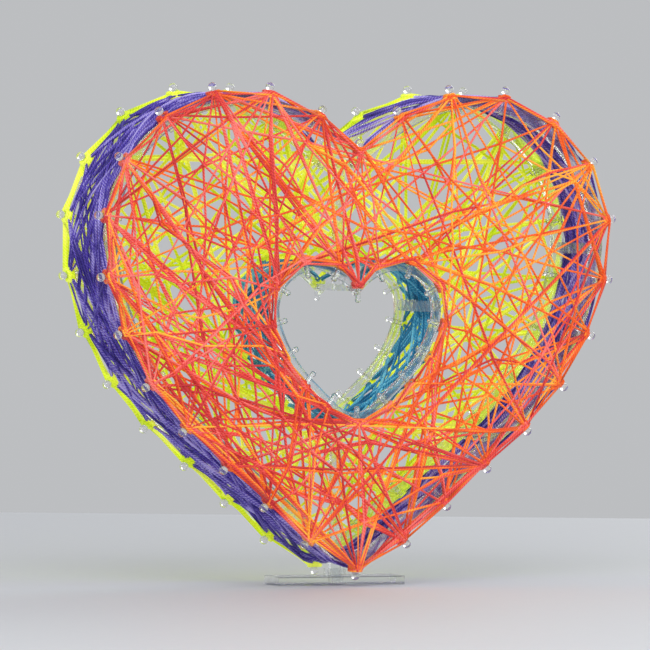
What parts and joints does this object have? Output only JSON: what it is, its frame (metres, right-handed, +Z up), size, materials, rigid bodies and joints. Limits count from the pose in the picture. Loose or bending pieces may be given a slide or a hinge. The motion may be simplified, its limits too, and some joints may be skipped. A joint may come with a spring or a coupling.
{
  "type": "string art heart",
  "caption": "Free-standing three-dimensional string-art heart: clear pinned frame with a heart-shaped hole, neon thread webs and side walls, on a clear foot.",
  "frame": {"origin": "middle of the foot's underside, on the table", "axes": "+X to the heart's right as seen from the front, +Y from the front web to the back web, +Z up"},
  "size_m": [0.2548, 0.0544, 0.2265],
  "materials": {
    "clear_foot": "clear, polished",
    "clear_frame": "clear, moulded gloss",
    "clear_pins": "clear, moulded gloss",
    "orange_thread": "twisted neon orange thread",
    "coral_thread": "twisted coral red thread",
    "yellow_green_thread": "twisted neon yellow-green thread",
    "violet_thread": "twisted violet thread",
    "turquoise_thread": "twisted turquoise thread"
  },
  "bodies": {
    "stand": {"foot_plate": "clear_foot"},
    "heart": {"front_outer_ring": "clear_frame", "back_outer_ring": "clear_frame", "front_inner_ring": "clear_frame", "back_inner_ring": "clear_frame", "notch_strut": "clear_frame", "tip_strut": "clear_frame", "top_left_strut": "clear_frame", "top_right_strut": "clear_frame", "side_left_strut": "clear_frame", "side_right_strut": "clear_frame", "low_left_strut": "clear_frame", "low_right_strut": "clear_frame", "inner_notch_strut": "clear_frame", "inner_tip_strut": "clear_frame", "inner_left_strut": "clear_frame", "inner_right_strut": "clear_frame", "upper_rib": "clear_frame", "lower_rib": "clear_frame", "front_outer_pins": "clear_pins", "back_outer_pins": "clear_pins", "front_inner_pins": "clear_pins", "back_inner_pins": "clear_pins", "front_orange_thread": "orange_thread", "front_coral_thread": "coral_thread", "back_green_thread": "yellow_green_thread", "outer_purple_thread": "violet_thread", "inner_turquoise_thread": "turquoise_thread"}
  },
  "joints": [
    {"name": "heart_lift", "type": "slide", "parent": "stand", "child": "heart", "axis": [0, 0, 1], "range_m": [0, 0.02]}
  ]
}
